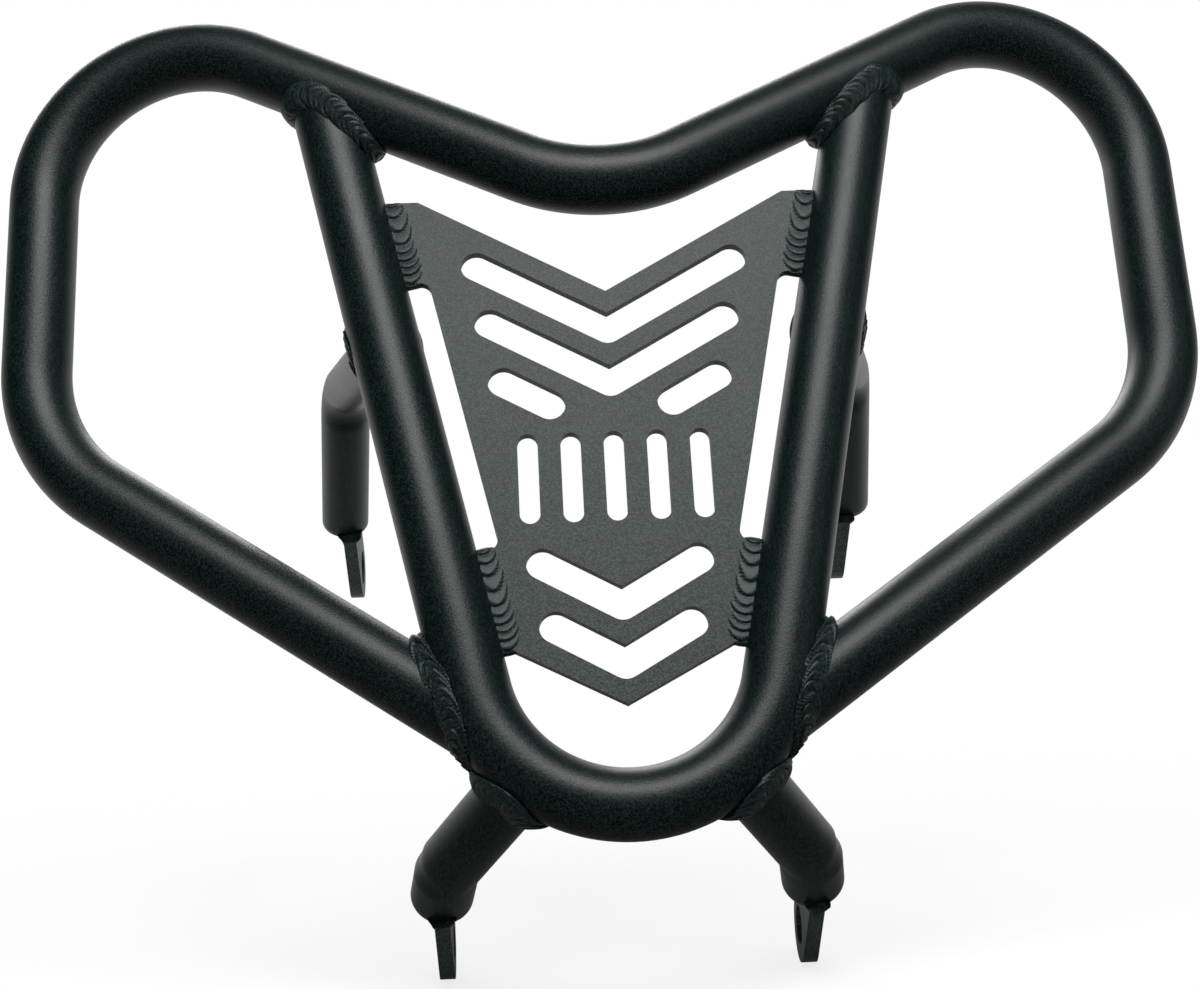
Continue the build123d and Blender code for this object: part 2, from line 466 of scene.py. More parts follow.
@dataclass(frozen=True)
class StrutSize:
    """The sizes of one pair of struts, on the right.

    Attributes:
        corner: Where the two straight runs of its axis would meet.
        end: Where its tube ends, over the tab.
        radius: Its radius.
        bend_radius: Its bend radius.
        flattening: How much its bend is flattened.
    """

    corner: Triple
    end: Triple
    radius: float
    bend_radius: float
    flattening: float


@dataclass(frozen=True)
class Layout:
    """The sizes that the tubes and seams follow, in metres and degrees.

    Nearly all have the names of the CAD part's driving dimensions, and all but the set-backs and
    the struts have their sizes too. The plane of the U has its origin at the centre of its bend.
    """

    tube_radius: float = 0.015875
    u_centre: Triple = (0.0, -0.086, 0.1385)
    u_lean: float = 21.1
    u_bend_radius: float = 0.066
    u_leg_spread: float = 12.3
    u_leg_length: float = 0.3008
    leg_set_back: float = 0.0026
    arm_rise: float = 25.33
    arm_sweep: float = 19.74
    hoop_half_width: float = 0.262
    side_length: float = 0.2416
    side_lean: float = 18.6
    hoop_end_arc_angle: float = 29.3
    hoop_end_setback: float = 0.0038
    plate_top_drop: float = 0.0623
    plate_foot_height: float = 0.0018
    upper_plate_weld_length: float = 0.0415
    lower_plate_weld_length: float = 0.0446
    upper_strut_start: float = 0.164
    lower_strut_arc_angle: float = 50.0
    upper_strut: StrutSize = StrutSize((0.131, 0.114, 0.2635), (0.14, 0.1864, 0.1961), 0.0127, 0.046, 0.17)
    lower_strut: StrutSize = StrutSize((0.08, -0.051, 0.044), (0.084, -0.02758, 0.02758), 0.0143, 0.024, 0.1)

    @property
    def u_axes(self) -> np.ndarray:
        """Return the directions across, up and off the plane of the U, as rows.

        Returns:
            The three directions.
        """
        lean = math.radians(self.u_lean)
        up, off = (0, math.sin(lean), math.cos(lean)), (0, -math.cos(lean), math.sin(lean))
        return np.array([(1, 0, 0), up, off])

    def u_way(self, across: float, up: float, off: float = 0.0) -> np.ndarray:
        """Return a direction from its shares across, up and off the plane of the U."""
        return np.array([across, up, off]) @ self.u_axes

    def u_point(self, across: float, up: float) -> np.ndarray:
        """Return a point from its distances across and up the plane of the U."""
        return np.array(self.u_centre) + self.u_way(across, up)

    def u_local(self, point: np.ndarray) -> np.ndarray:
        """Return a point's distances across, up and off the plane of the U."""
        return self.u_axes @ (point - np.array(self.u_centre))

    def arc_point(self, angle: float) -> np.ndarray:
        """Return the point of the U's bend at an angle below its centre, on the right."""
        turn = math.radians(angle)
        return self.u_point(self.u_bend_radius * math.cos(turn), -self.u_bend_radius * math.sin(turn))

    def leg_inside(self, up: float) -> float:
        """Return how far out the right leg's inner side lies at a height in the U's plane."""
        spread = math.radians(self.u_leg_spread)
        return (self.u_bend_radius - self.tube_radius) / math.cos(spread) + up * math.tan(spread)

    @property
    def leg_axis(self) -> StraightAxis:
        """Return the right leg's axis, from the end of the U's bend.

        Returns:
            The axis.
        """
        spread = math.radians(self.u_leg_spread)
        way = self.u_way(math.sin(spread), math.cos(spread))
        return StraightAxis(self.arc_point(self.u_leg_spread), way)

    @property
    def leg_top(self) -> np.ndarray:
        """Return where the right leg's axis meets the axis of the hoop's arm."""
        return self.leg_axis.at(self.u_leg_length)

    @property
    def leg_end(self) -> np.ndarray:
        """Return where the right leg's own axis ends, a little behind the axis of the arm."""
        return self.leg_top + np.array([0, self.leg_set_back, 0])

    @property
    def arm_slope(self) -> np.ndarray:
        """Return the run of the hoop's right arm for each metre outwards."""
        return np.array([1, math.tan(math.radians(self.arm_sweep)), math.tan(math.radians(self.arm_rise))])

    @property
    def apex(self) -> np.ndarray:
        """Return where the axes of the hoop's two arms meet."""
        return self.leg_top - self.arm_slope * self.leg_top[0]

    @property
    def shoulder(self) -> np.ndarray:
        """Return the hoop's upper right corner."""
        return self.leg_top + self.arm_slope * (self.hoop_half_width - self.leg_top[0])

    @property
    def corner(self) -> np.ndarray:
        """Return the hoop's lower right corner."""
        lean = math.radians(self.side_lean)
        return self.shoulder - np.array([0, math.sin(lean), math.cos(lean)]) * self.side_length

    @property
    def hoop_end(self) -> np.ndarray:
        """Return where the hoop's axis ends behind the U's bend."""
        return self.arc_point(self.hoop_end_arc_angle) - self.u_way(0, 0, self.hoop_end_setback)

    @property
    def struts(self) -> dict[str, tuple[np.ndarray, StrutSize]]:
        """Return each right strut's start on the U's axis and its sizes, by its node's first words."""
        return {
            "upper_strut": (self.leg_axis.at(self.upper_strut_start), self.upper_strut),
            "lower_strut": (self.arc_point(self.lower_strut_arc_angle), self.lower_strut),
        }


@dataclass(frozen=True)
class UAxis:
    """The axis of the U: a bend, and a straight leg at each end of it."""

    layout: Layout

    def nearest(self, point: np.ndarray) -> np.ndarray:
        """Return the nearest point of the axis to a point on the right.

        Args:
            point: The point on the right.

        Returns:
            The nearest point.
        """
        across, up, _ = self.layout.u_local(point)
        if math.degrees(math.atan2(-up, across)) > self.layout.u_leg_spread:
            scale = self.layout.u_bend_radius / math.hypot(across, up)
            return self.layout.u_point(across * scale, up * scale)
        return self.layout.leg_axis.nearest(point)


@dataclass(frozen=True)
class Seam:
    """A line of points that a weld bead or a tube follows, with a way out of it at each.

    Attributes:
        points: The points, in order.
        outward: A direction square to the line at each point.
        closed: Whether the last point joins the first.
        measures: What the tree that follows the line reads at each point, by its attribute's name.
    """

    points: np.ndarray
    outward: np.ndarray
    closed: bool
    measures: dict[str, np.ndarray]

    @property
    def length(self) -> float:
        """Return the length of the line."""
        ring = np.vstack([self.points, self.points[:1]]) if self.closed else self.points
        return float(np.linalg.norm(np.diff(ring, axis=0), axis=1).sum())

    def on(self, side: Side) -> "Seam":
        """Return the line on one side of the bumper."""
        return Seam(self.points * side.flip, self.outward * side.flip, self.closed, self.measures)


@dataclass(frozen=True)
class BentLine:
    """Straight lines through corners that are rounded to a bend radius.

    Attributes:
        corners: The corners, in order, with both ends.
        radii: The bend radius at each inner corner.
        flattening: How much a bend is flattened at its middle.
        step: How far apart the points of a bend are.
        straight_step: How far apart the points of a straight run are.
    """

    corners: tuple[np.ndarray, ...]
    radii: tuple[float, ...]
    flattening: float = 0.0
    step: float = 0.003
    straight_step: float = 0.012

    # The fewest steps that a bend is made of
    FEWEST = 4

    def seam(self) -> Seam:
        """Return the line as points that a tube follows.

        Returns:
            The line, open, with how flat the tube is along it.
        """
        points, squash = [self.corners[0]], [0.0]
        for index, radius in enumerate(self.radii, 1):
            corner = self.corners[index]
            back = unit(self.corners[index - 1] - corner)
            onward = unit(self.corners[index + 1] - corner)
            half = math.acos(float(np.dot(back, onward))) / 2
            centre = corner + unit(back + onward) * radius / math.sin(half)
            first = corner + back * radius / math.tan(half)
            last = corner + onward * radius / math.tan(half)
            self._straight(points, squash, first)
            across, turn = unit(first - centre), math.pi - 2 * half
            along = unit(last - centre - across * float(np.dot(last - centre, across)))
            count = max(self.FEWEST, round(radius * turn / self.step))
            for part in range(1, count + 1):
                angle = turn * part / count
                points.append(centre + (across * math.cos(angle) + along * math.sin(angle)) * radius)
                squash.append(self.flattening * math.sin(math.pi * part / count) ** FLATTENING_POWER)
        self._straight(points, squash, self.corners[-1])
        places = np.array(points)
        return Seam(places, self._carried(places), False, {SQUASH: np.array(squash)})

    def _straight(self, points: list, squash: list, end: np.ndarray) -> None:
        """Add the points of a straight run to a line's lists.

        Args:
            points: The line's points so far.
            squash: How flat the tube is at each of them.
            end: Where the run ends.
        """
        start = points[-1]
        count = max(1, round(float(np.linalg.norm(end - start)) / self.straight_step))
        for part in range(1, count + 1):
            points.append(start + (end - start) * part / count)
            squash.append(0.0)

    def _carried(self, places: np.ndarray) -> np.ndarray:
        """Return a direction square to the line, carried along it without a twist.

        Args:
            places: The points of the line.

        Returns:
            The direction at each point.
        """
        ways = np.gradient(places, axis=0)
        first, second = (self.corners[i + 1] - self.corners[i] for i in range(2))
        normal = unit(np.cross(np.cross(first, second), ways[0]))
        carried = []
        for way in ways:
            way = unit(way)
            normal = unit(normal - way * float(np.dot(normal, way)))
            carried.append(normal)
        return np.array(carried)


@dataclass(frozen=True)
class TubeJoint:
    """A branch tube that is coped onto a main tube.

    Attributes:
        start: Where the branch starts, on the main tube's axis.
        direction: The way the branch runs.
        radius: The branch's radius.
        axis: The main tube's axis.
        main_radius: The main tube's radius.
    """

    # A direction that no branch runs along, and the search for the main tube's side, in its radii
    SKEW = (0.3, 0.2, 0.93)
    SEARCH = (-1.0, 3.0)
    SEARCH_STEPS = 300

    # How many points a seam has, and how much of itself a weld gains in the sharpest corner
    SEAM_POINTS = 96
    SHARP_GROWTH = 0.5

    start: np.ndarray
    direction: np.ndarray
    radius: float
    axis: StraightAxis | UAxis
    main_radius: float

    def _reach(self, foot: np.ndarray) -> float:
        """Return how far along the branch, from a foot beside its start, the main tube's side lies.

        Args:
            foot: The point beside the branch's start.

        Returns:
            The distance, which is below 0 behind the foot.
        """
        low, high = (share * self.main_radius for share in self.SEARCH)
        runs = np.linspace(low, high, self.SEARCH_STEPS)
        places = [foot + self.direction * run for run in runs]
        distances = np.array([np.linalg.norm(place - self.axis.nearest(place)) for place in places])
        gaps = distances - self.main_radius
        inside = np.flatnonzero(gaps < 0)
        if not len(inside):
            return float(runs[gaps.argmin()])
        last = min(int(inside[-1]), len(runs) - 2)
        share = gaps[last] / (gaps[last] - gaps[last + 1])
        return float(runs[last] + (runs[last + 1] - runs[last]) * share)

    def seam(self, leg: float) -> Seam:
        """Return the closed seam round the branch.

        Args:
            leg: How far the weld reaches along each tube, which grows where the corner is sharp.

        Returns:
            The seam, on the right side of the bumper.
        """
        across = unit(np.cross(self.direction, self.SKEW))
        sideways = np.cross(self.direction, across)
        points, outward, rise, breadth = [], [], [], []
        for turn in np.linspace(0, 2 * math.pi, self.SEAM_POINTS, endpoint=False):
            radial = across * math.cos(turn) + sideways * math.sin(turn)
            foot = self.start + radial * self.radius
            place = foot + self.direction * self._reach(foot)
            nearest = self.axis.nearest(place)
            normal = unit(place - nearest)
            points.append(nearest + normal * self.main_radius)
            outward.append(unit(radial + normal))
            likeness = float(np.dot(radial, normal))
            throat = leg * (1 + self.SHARP_GROWTH * max(0.0, -likeness))
            rise.append(throat * math.sqrt(max(0.0, 1 - likeness) / 2))
            breadth.append(throat * math.sqrt(max(0.0, 1 + likeness) / 2))
        measures = {RISE: np.array(rise), BREADTH: np.array(breadth)}
        return Seam(np.array(points), np.array(outward), True, measures)


# Meshes that follow a line


@dataclass(frozen=True)
class BeadSize:
    """The sizes of a rippled weld bead.

    Attributes:
        leg: How far the weld reaches along each of the metals that it joins.
        crown: How far the bead's face bulges.
        pitch: How far apart the ripples are.
        depth: How deep the creases between ripples are.
        bow: How far each ripple bows along the bead, in ripples.
        wander: How much each ripple differs from its neighbours, as a share of the bead.
        seed: The seed of those differences.
    """

    leg: float
    crown: float = 0.0016
    pitch: float = 0.0034
    depth: float = 0.0007
    bow: float = 2.4
    wander: float = 0.05
    seed: int = 1

    # The fewest ripples that a bead has
    FEWEST = 3

    def settings(self, seam: Seam) -> dict[str, float]:
        """Return what the ripple tree is given for a bead of this size along a seam.

        Args:
            seam: The seam that the bead follows.

        Returns:
            The numbers, by the input's name.
        """
        given = {name.title(): getattr(self, name) for name in ("crown", "depth", "bow", "wander", "seed")}
        ripples = float(max(self.FEWEST, round(seam.length / self.pitch)))
        return given | {"Ripples": ripples, "Taper": 0.0 if seam.closed else 1.0}


def finished_piece(name: str, mesh: bpy.types.Mesh) -> bpy.types.Object:
    """Close a mesh, turn its faces outwards, and link it at the origin.

    Args:
        name: The object's name.
        mesh: The mesh, with its place in its points.

    Returns:
        The linked object.
    """
    work = bmesh.new()
    work.from_mesh(mesh)
    bmesh.ops.remove_doubles(work, verts=work.verts, dist=MERGE_DISTANCE)
    bmesh.ops.dissolve_degenerate(work, edges=work.edges, dist=SHORTEST_EDGE)
    bmesh.ops.recalc_face_normals(work, faces=work.faces)
    work.to_mesh(mesh)
    work.free()
    for polygon in mesh.polygons:
        polygon.use_smooth = True
    return linked(name, mesh)


def put_in_place(piece: bpy.types.Object, node: str) -> None:
    """Give a piece its body, in place of a CAD node.

    Args:
        piece: The piece.
        node: The name of the CAD node.
    """
    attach(piece, BODY)
    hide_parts(node)
    LOG.info("made %s, %d faces", piece.name, len(piece.data.polygons))


class PathTree:
    """A Geometry Nodes tree that rolls a grid of points round a line."""

    # The tree's own number inputs, how many points a ring has, how far apart the rings are, and
    # how many more close the ends
    NUMBERS: tuple[str, ...] = ()
    SIDES: int
    STEP: float
    END_RINGS = 0

    def __init__(self, name: str) -> None:
        """Build the tree once, with named inputs for every size.

        Args:
            name: The tree's name.
        """
        self.tree = bpy.data.node_groups.new(name, "GeometryNodeTree")
        self.graph = Graph(self.tree)
        face = self.tree.interface
        face.new_socket("Line", in_out="INPUT", socket_type="NodeSocketGeometry")
        for number in self.NUMBERS:
            face.new_socket(number, in_out="INPUT", socket_type="NodeSocketFloat")
        for count in ("Sections", "Around", "Seed"):
            face.new_socket(count, in_out="INPUT", socket_type="NodeSocketInt")
        face.new_socket("Material", in_out="INPUT", socket_type="NodeSocketMaterial")
        face.new_socket("Piece", in_out="OUTPUT", socket_type="NodeSocketGeometry")
        self.given = self.graph.node("NodeGroupInput")
        counts = {"Vertices X": self.given.value("Sections"), "Vertices Y": self.given.value("Around")}
        self.grid = self.graph.node("GeometryNodeMeshGrid", None, {"Size X": 1.0, "Size Y": 1.0, **counts})
        place = self.graph.node("GeometryNodeInputPosition").arrow()
        self.along = place.part(0) + 0.5
        self.turn = place.part(1) * (2 * math.pi)
        self.curve = self.graph.node("GeometryNodeMeshToCurve", None, {"Mesh": self.given.value("Line")})
        self._build()

    def _build(self) -> None:
        """Lay out the nodes that are this tree's own."""
        raise NotImplementedError

    def _sampled(self, name: str, kind: str, share: Value) -> NodeHandle:
        """Return a sample of the line, with one of its attributes, at a share of its length.

        Args:
            name: The attribute's name.
            kind: The attribute's data type.
            share: The share of the length.

        Returns:
            The node that samples it.
        """
        attribute = self.graph.node("GeometryNodeInputNamedAttribute", {"data_type": kind}, {0: name})
        settings = {"mode": "FACTOR", "data_type": kind, "use_all_curves": True}
        inputs = {"Curves": self.curve.value(), "Value": attribute.value(), "Factor": share}
        return self.graph.node("GeometryNodeSampleCurve", settings, inputs)

    def _end(self, spot: Arrow, crease: "Value | float") -> None:
        """Move the grid's points, close its seams, and hand on the plain mesh with its finish.

        Args:
            spot: Where each point goes.
            crease: How deep in a crease it lies, from 0 to 1, which sets the weld coat's painted shade.
        """
        point_number = {"data_type": "FLOAT", "domain": "POINT"}
        steps = (
            ("GeometryNodeSetPosition", None, {"Position": spot}),
            ("GeometryNodeStoreNamedAttribute", point_number, {"Name": CREASE, "Value": crease}),
            ("GeometryNodeMergeByDistance", None, {"Distance": MERGE_DISTANCE}),
            ("GeometryNodeSetShadeSmooth", None, {}),
            ("GeometryNodeRealizeInstances", None, {}),
            ("GeometryNodeSetMaterial", None, {"Material": self.given.value("Material")}),
        )
        mesh = self.grid.value("Mesh")
        for kind, settings, inputs in steps:
            mesh = self.graph.node(kind, settings, {0: mesh, **inputs}).value()
        self.graph.node("NodeGroupOutput", None, {0: mesh})

    def lay(self, name: str, seam: Seam, settings: dict) -> bpy.types.Object:
        """Lay one piece along a line.

        Args:
            name: The new piece's name.
            seam: The line to follow.
            settings: The tree's own numbers and the material, by the input's name.

        Returns:
            The piece as a plain mesh object at the origin.
        """
        count = len(seam.points)
        edges = [(i, i + 1) for i in range(count - 1)] + ([(count - 1, 0)] if seam.closed else [])
        mesh = bpy.data.meshes.new(name + "_line")
        mesh.from_pydata(seam.points.tolist(), edges, [])
        outward = mesh.attributes.new(OUTWARD, "FLOAT_VECTOR", "POINT")
        outward.data.foreach_set("vector", seam.outward.ravel())
        for measure, values in seam.measures.items():
            mesh.attributes.new(measure, "FLOAT", "POINT").data.foreach_set("value", values)
        carrier = linked(name + "_line", mesh)
        modifier = carrier.modifiers.new("lay", "NODES")
        modifier.node_group = self.tree
        rings = int(seam.length / self.STEP) + self.END_RINGS
        given = settings | {"Sections": rings, "Around": self.SIDES}
        for item in self.tree.interface.items_tree:
            if item.in_out == "INPUT" and item.name in given:
                modifier[item.identifier] = given[item.name]
        bpy.context.view_layer.update()
        ready = carrier.evaluated_get(bpy.context.evaluated_depsgraph_get())
        made = bpy.data.meshes.new_from_object(ready)
        made.name = name
        carrier.modifiers.remove(modifier)
        bpy.data.objects.remove(carrier)
        return finished_piece(name, made)


class TubeTree(PathTree):
    """The Geometry Nodes tree that runs a round tube along a line and closes its ends."""

    NUMBERS = ("Radius",)
    SIDES = 73
    STEP = 0.003
    END_RINGS = 3

    def _build(self) -> None:
        """Lay out the nodes: each ring is round, or a little flattened in a bend."""
        gap = 1 / (self.given.value("Sections") - 1)
        share = ((self.along - gap) / (1 - gap * 2)).clamped()
        sample = self._sampled(OUTWARD, "FLOAT_VECTOR", share)
        squash = self._sampled(SQUASH, "FLOAT", share).value("Value")
        out = sample.arrow("Value").unit()
        aside = sample.arrow("Tangent").cross(out)
        inside = self.along.above(gap * 0.5) * (1 - self.along).above(gap * 0.5)
        reach = inside * self.given.value("Radius")
        lift = self.turn.cosine() * reach * (1 - squash)
        spot = sample.arrow("Position") + out * lift + aside * (self.turn.sine() * reach)
        self._end(spot, 0.0)


class RippleTree(PathTree):
    """The Geometry Nodes tree that lays a rippled bead along a seam."""

    NUMBERS = ("Crown", "Ripples", "Depth", "Bow", "Wander", "Taper")
    SIDES = 49
    STEP = 0.00028

    # How far a bead overlaps the metals that it joins
    MARGIN = 0.0006

    # The share of a ripple that is its crease, and how its back falls away
    CREASE_SHARE = 0.2
    BACK_POWER = 1.6

    # Two slow waves in the spacing of the ripples, as turns for each ripple and reach in ripples
    QUICK_DRIFT = (0.9, 0.3)
    SLOW_DRIFT = (0.37, 0.4)

    # How bluntly an open bead ends, and how far apart the draws for a ripple's size and place are
    END_POWER = 14.0
    NEXT_DRAW = 57.0

    def _build(self) -> None:
        """Lay out the nodes: each ripple overlaps the one before it, as stacked discs do."""
        given, turn = self.given, self.turn
        sample = self._sampled(OUTWARD, "FLOAT_VECTOR", self.along)
        rise = self._sampled(RISE, "FLOAT", self.along).value("Value")
        breadth = self._sampled(BREADTH, "FLOAT", self.along).value("Value")
        out = sample.arrow("Value").unit()
        aside = sample.arrow("Tangent").cross(out)
        travel = self.along * given.value("Ripples")
        quick = (travel * self.QUICK_DRIFT[0] + given.value("Seed")).sine() * self.QUICK_DRIFT[1]
        slow = (travel * self.SLOW_DRIFT[0]).sine() * self.SLOW_DRIFT[1]
        phase = travel + (quick + slow) * given.value("Taper") - (1 - turn.cosine()) * given.value("Bow")
        number = phase.floor()
        share = phase - number
        edge = share.between(0.0, self.CREASE_SHARE)
        step = edge * (1 - (share - self.CREASE_SHARE).largest(0.0) ** self.BACK_POWER)
        ring = number.wrapped(given.value("Ripples"), 0.0)
        swell, sway = self._chance(ring) + 1, self._chance(ring + self.NEXT_DRAW)
        from_middle = ((self.along - 0.5) * 2).size()
        taper = (1 - from_middle**self.END_POWER * given.value("Taper")).largest(0.0) ** 0.5
        face = turn.cosine().largest(0.0) * (given.value("Crown") + self.MARGIN)
        floor = (turn.cosine() * -1).largest(0.0) * (rise + self.MARGIN)
        pressed = (step - 1) * given.value("Depth") * turn.cosine().largest(0.0) ** 0.5
        lift = ((rise - self.MARGIN + face) * swell - floor + pressed) * taper
        spread = (turn.sine() + sway) * (breadth + self.MARGIN) * swell * taper
        # 1 - edge marks the creases between ripples, which the weld coat darkens with painted shade
        self._end(sample.arrow("Position") + out * lift + aside * spread, 1 - edge)

    def _chance(self, number: Value) -> Value:
        """Return a random share of the bead's wander, the same for the same ripple and seed.

        Args:
            number: The ripple's number.

        Returns:
            The share.
        """
        spread = {2: -1.0, 3: 1.0, "ID": number, "Seed": self.given.value("Seed")}
        picked = self.graph.node("FunctionNodeRandomValue", {"data_type": "FLOAT"}, spread)
        return picked.value(1) * self.given.value("Wander")


# Sub-assemblies


@dataclass
class FlatParts:
    """The plate and the tabs, which keep their CAD shape and get a finish.

    Attributes:
        names: The nodes' names.
        finish: The powder coat that they get, paler than the tubes' coat as painted light.
    """

    names: list[str]
    finish: PowderCoat = PLATE_COAT_WITH_PAINTED_LIGHT

    def build(self, nodes: dict[str, bpy.types.Object]) -> None:
        """Give each node its finish.

        Args:
            nodes: The frame's nodes.
        """
        material = self.finish.build()
        for name in self.names:
            node = nodes[name]
            if not node.material_slots:
                node.data.materials.append(material)
            for place in node.material_slots:
                place.material = material
            LOG.info("painted %s with %s", name, material.name)


@dataclass
class Tubework:
    """The hoop, the U and the four struts, as smooth tubes in place of the CAD's faceted ones.

    Attributes:
        layout: The sizes that the tubes follow.
        finish: The tubes' powder coat.
        hoop_bends: The hoop's bend radii at its corner, shoulder and apex.
        hoop_end_gap: How far the hoop's end stays off the U's axis.
        u_flattening: How much the U's bend is flattened at its middle.
        u_steps: How many points the U's bend has.
    """

    layout: Layout = field(default_factory=Layout)
    finish: PowderCoat = TUBE_COAT
    hoop_bends: Triple = (0.077, 0.0685, 0.070)
    hoop_end_gap: float = 0.004
    u_flattening: float = 0.0403
    u_steps: int = 60

    def hoop(self) -> Seam:
        """Return the axis of the hoop, from its right end round to its left end.

        Returns:
            The axis.
        """
        size = self.layout
        first = size.hoop_end + unit(size.corner - size.hoop_end) * self.hoop_end_gap
        half = [first, size.corner, size.shoulder]
        corners = (*half, size.apex, *(corner * Side.LEFT.flip for corner in reversed(half)))
        corner, shoulder, apex = self.hoop_bends
        return BentLine(corners, (corner, shoulder, apex, shoulder, corner)).seam()

    def u_tube(self) -> Seam:
        """Return the axis of the U, from its right top round to its left top.

        Returns:
            The axis, with how flat the tube is along it.
        """
        size = self.layout
        angles = np.linspace(size.u_leg_spread, 180 - size.u_leg_spread, self.u_steps)
        bend = np.array([size.arc_point(angle) for angle in angles])
        inward = np.array(size.u_centre) - bend
        top = size.leg_end
        leg = unit(top - bend[0])
        square = inward[0] - leg * float(np.dot(inward[0], leg))
        points = np.vstack([top, bend, top * Side.LEFT.flip])
        ways = np.vstack([square, inward, square * Side.LEFT.flip])
        swell = np.sin(np.linspace(0, math.pi, self.u_steps)) ** FLATTENING_POWER
        squash = np.concatenate([[0], self.u_flattening * swell, [0]])
        return Seam(points, ways, False, {SQUASH: squash})

    def strut(self, start: np.ndarray, size: StrutSize) -> Seam:
        """Return the axis of a right strut from its start on the U's axis."""
        corners = (start, np.array(size.corner), np.array(size.end))
        return BentLine(corners, (size.bend_radius,), size.flattening).seam()

    def build(self, tree: TubeTree) -> None:
        """Run every tube.

        Args:
            tree: The Geometry Nodes tree that runs a tube.
        """
        material = self.finish.build()
        main = self.layout.tube_radius
        runs = {"outer_hoop": (self.hoop(), main), "u_tube": (self.u_tube(), main)}
        for name, (start, size) in self.layout.struts.items():
            for side in Side:
                runs[f"{name}_{side.label}"] = (self.strut(start, size).on(side), size.radius)
        for node, (seam, radius) in runs.items():
            settings = {"Radius": radius, "Material": material}
            put_in_place(tree.lay(f"{node}_smooth", seam, settings), node)


@dataclass
class TabWelds:
    """The smooth lumps that close the struts' ends round the tabs, in place of the CAD's blocks.

    Attributes:
        upper: Where the right upper tab leaves its strut.
        lower: Where the right lower tab leaves its strut.
        thickness: How thick a tab is.
        width: How wide a tab is.
        spread: How far a lump stands out from the tab's faces at the strut.
        overhang: How far it stands out from the tab's edges at the strut.
        sunk: How far its narrow end lies inside the tab's faces.
        height: How far it runs down the tab.
        start: How far up the strut it starts.
        slope: How quickly it narrows down the tab.
        squareness: The power that squares its section, where 1 is round.
        unevenness: How far its face wanders.
        waves: In how many waves it wanders.
        twist: How far those waves turn down the tab.
        seed: The seed of those waves.
        rings: How many sections it has.
        sides: How many points a section has.
    """

    # The ways down a tab and across it
    ALONG = np.array([0, math.sqrt(0.5), -math.sqrt(0.5)])
    ACROSS = np.array([0, math.sqrt(0.5), math.sqrt(0.5)])

    upper: Triple = (0.137, 0.1864, 0.1961)
    lower: Triple = (0.084, -0.02758, 0.02758)
    thickness: float = 0.007
    width: float = 0.034
    spread: float = 0.0036
    overhang: float = 0.0006
    sunk: float = 0.0001
    height: float = 0.0085
    start: float = 0.001
    slope: float = 1.6
    squareness: float = 0.45
    unevenness: float = 0.00022
    waves: int = 6
    twist: float = 5.0
    seed: int = 5
    rings: int = 12
    sides: int = 56

    def _squared(self, share: float) -> float:
        """Return a sine or cosine as a squared-off section has it."""
        return math.copysign(abs(share) ** self.squareness, share)

    def _ring(self, place: np.ndarray, step: float, waves: np.ndarray) -> list[np.ndarray]:
        """Return the points of a lump's section.

        Args:
            place: Where the tab leaves the strut.
            step: How far down the lump the section lies, from 0 to 1.
            waves: Where each wave of the unevenness starts.

        Returns:
            The points, in order.
        """
        fall = (1 - step) ** self.slope
        half_thick = self.thickness / 2 + self.spread * fall - self.sunk
        half_wide = self.width / 2 + self.overhang * fall
        middle = place + self.ALONG * (step * self.height - self.start)
        ring = []
        for turn in np.linspace(0, 2 * math.pi, self.sides, endpoint=False):
            sway = sum(math.sin((k + 2) * turn + wave + self.twist * step) for k, wave in enumerate(waves))
            grown = self.unevenness * sway * (1 - step)
            out = np.array([self._squared(math.cos(turn)) * (half_thick + grown), 0, 0])
            ring.append(middle + out + self.ACROSS * self._squared(math.sin(turn)) * (half_wide + grown))
        return ring

    def _lump(self, name: str, place: np.ndarray, chance: np.random.Generator) -> bpy.types.Object:
        """Return one lump.

        Args:
            name: The new piece's name.
            place: Where the tab leaves the strut.
            chance: Where the unevenness comes from.

        Returns:
            The lump as a mesh object at the origin.
        """
        waves = chance.uniform(0, 2 * math.pi, self.waves)
        rings = [self._ring(place, step, waves) for step in np.linspace(0, 1, self.rings)]
        points = [tuple(point) for ring in rings for point in ring]
        faces = []
        for row in range(0, (self.rings - 1) * self.sides, self.sides):
            for here in range(self.sides):
                after = (here + 1) % self.sides
                lower = row + self.sides
                faces.append((row + here, row + after, lower + after, lower + here))
        faces += [tuple(range(self.sides))[::-1], tuple(range(len(points) - self.sides, len(points)))]
        mesh = bpy.data.meshes.new(name)
        mesh.from_pydata(points, [], faces)
        return finished_piece(name, mesh)

    def build(self, material: bpy.types.Material) -> None:
        """Make every lump.

        Args:
            material: The lumps' finish.
        """
        chance = np.random.default_rng(self.seed)
        for level, place in {"upper": self.upper, "lower": self.lower}.items():
            for side in Side:
                node = f"{level}_end_weld_{side.label}"
                piece = self._lump(f"{node}_lump", place * side.flip, chance)
                piece.data.materials.append(material)
                put_in_place(piece, node)


